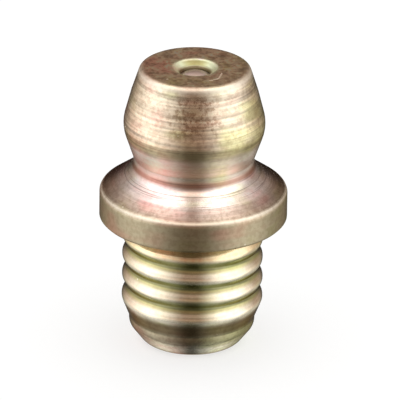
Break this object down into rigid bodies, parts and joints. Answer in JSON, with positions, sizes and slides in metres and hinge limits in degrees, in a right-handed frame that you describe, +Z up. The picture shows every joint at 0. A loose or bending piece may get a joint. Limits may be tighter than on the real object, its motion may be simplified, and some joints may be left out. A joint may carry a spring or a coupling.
{
  "type": "grease nipple",
  "caption": "Straight drive-in grease nipple: waisted coupler head with a ball check inlet, round flange and a hollow ringed shank pressed into a plain hole.",
  "frame": {"origin": "centre of the shank's flat end, the lowest point of the nipple as it stands", "axes": "+Z up the turned axis from the shank to the head; X and Y are equal round the axis"},
  "size_m": [0.0086, 0.0086, 0.0135],
  "materials": {
    "plated_body": "turned steel, zinc plated with a yellow iridescent passivation",
    "ball_steel": "polished bearing steel",
    "spring_wire": "bright drawn spring steel"
  },
  "bodies": {
    "nipple": {"body": "plated_body", "spring": "spring_wire"},
    "ball": {"check_ball": "ball_steel"}
  },
  "joints": [
    {"name": "ball_lift", "type": "slide", "parent": "nipple", "child": "ball", "axis": [0, 0, 1], "range_m": [-0.0083, 0], "stiffness_N_per_m": 1000, "springref_m": 0.001, "deforming": ["spring"]}
  ]
}
